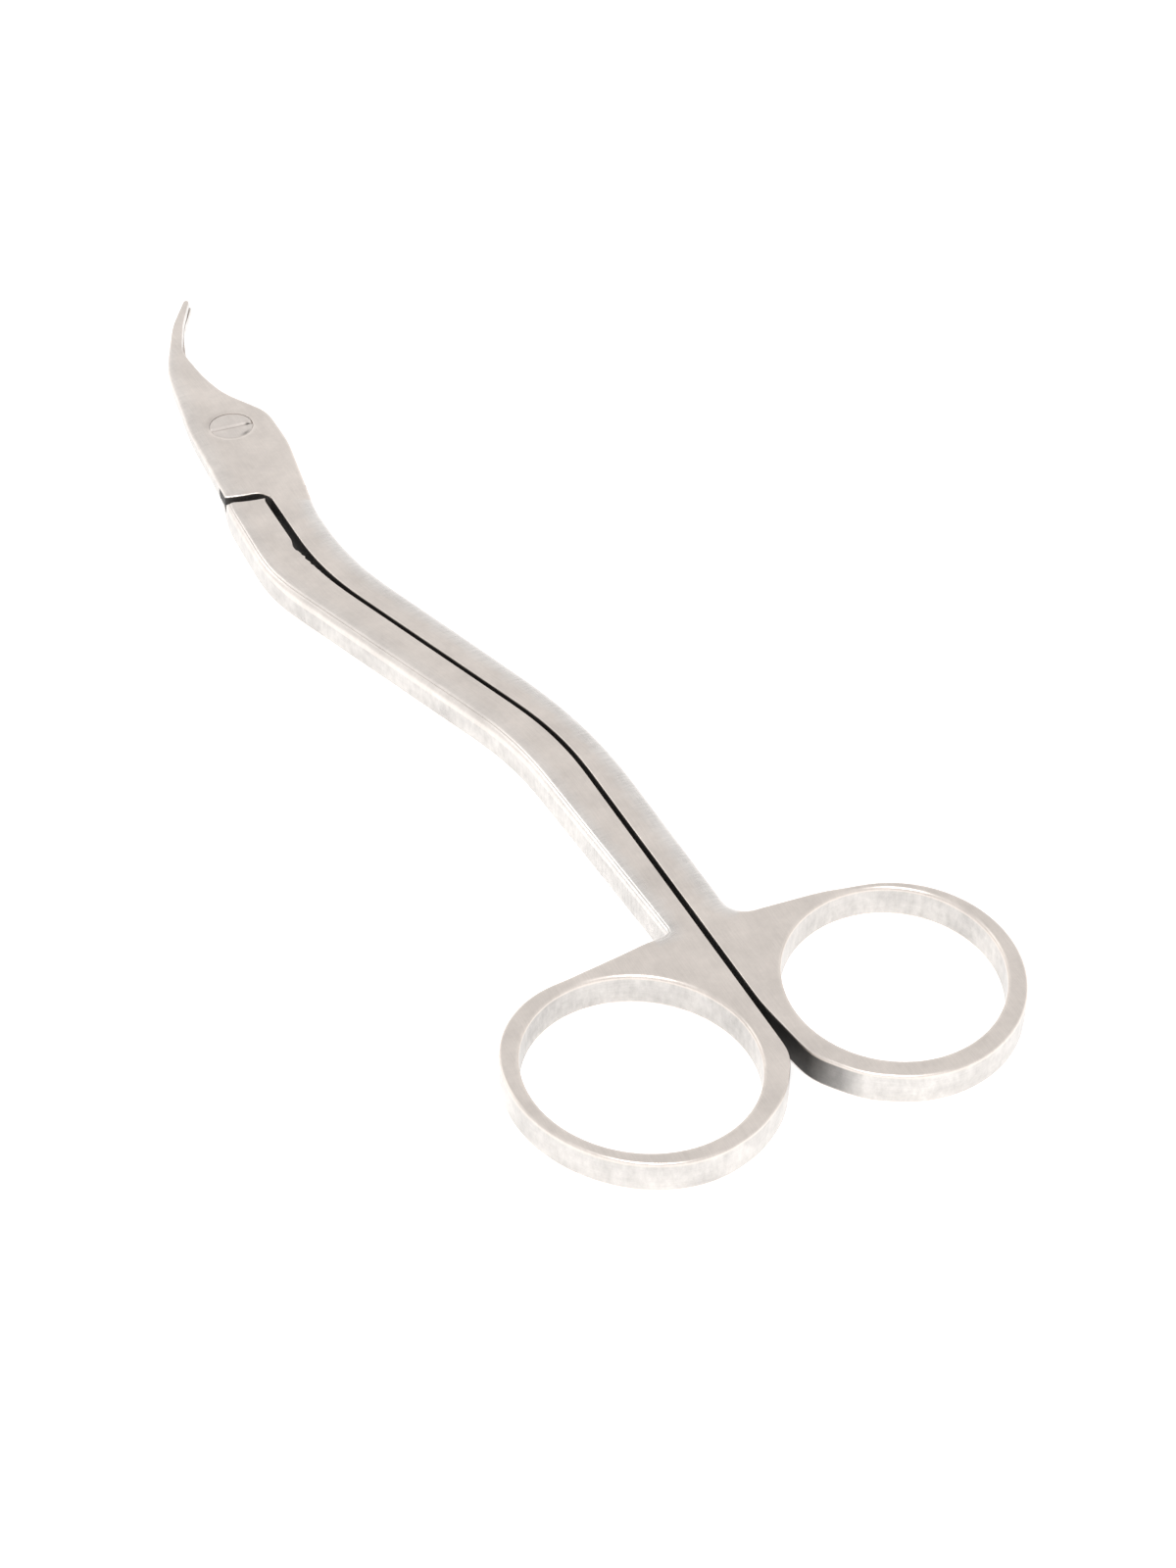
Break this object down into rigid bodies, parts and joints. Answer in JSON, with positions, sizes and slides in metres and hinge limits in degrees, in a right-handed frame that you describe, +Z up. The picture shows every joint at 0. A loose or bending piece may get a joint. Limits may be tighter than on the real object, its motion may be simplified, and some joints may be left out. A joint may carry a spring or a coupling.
{
  "type": "wick trimmer",
  "caption": "Slim satin steel scissors with an S-shaped shank, finger rings, a slotted pivot screw and short hooked blades, for trimming candle wicks.",
  "frame": {"origin": "where the pivot axis meets the underside that the trimmer lies on", "axes": "+Y along the shanks from the finger rings toward the tips, +Z up out of the screw head along the pivot axis, +X toward the right-hand ring's side"},
  "size_m": [0.0582, 0.1753, 0.0042],
  "materials": {
    "left_steel": "satin, ground along its length",
    "right_steel": "satin, ground along its length",
    "screw_steel": "turned, lightly worn"
  },
  "bodies": {
    "lower": {"left_lever": "left_steel", "pivot_screw": "screw_steel"},
    "upper": {"right_lever": "right_steel"}
  },
  "joints": [
    {"name": "pivot_hinge", "type": "hinge", "parent": "lower", "child": "upper", "pos_m": [0, 0, 0], "axis": [0, 0, 1], "range_deg": [0, 50]}
  ]
}
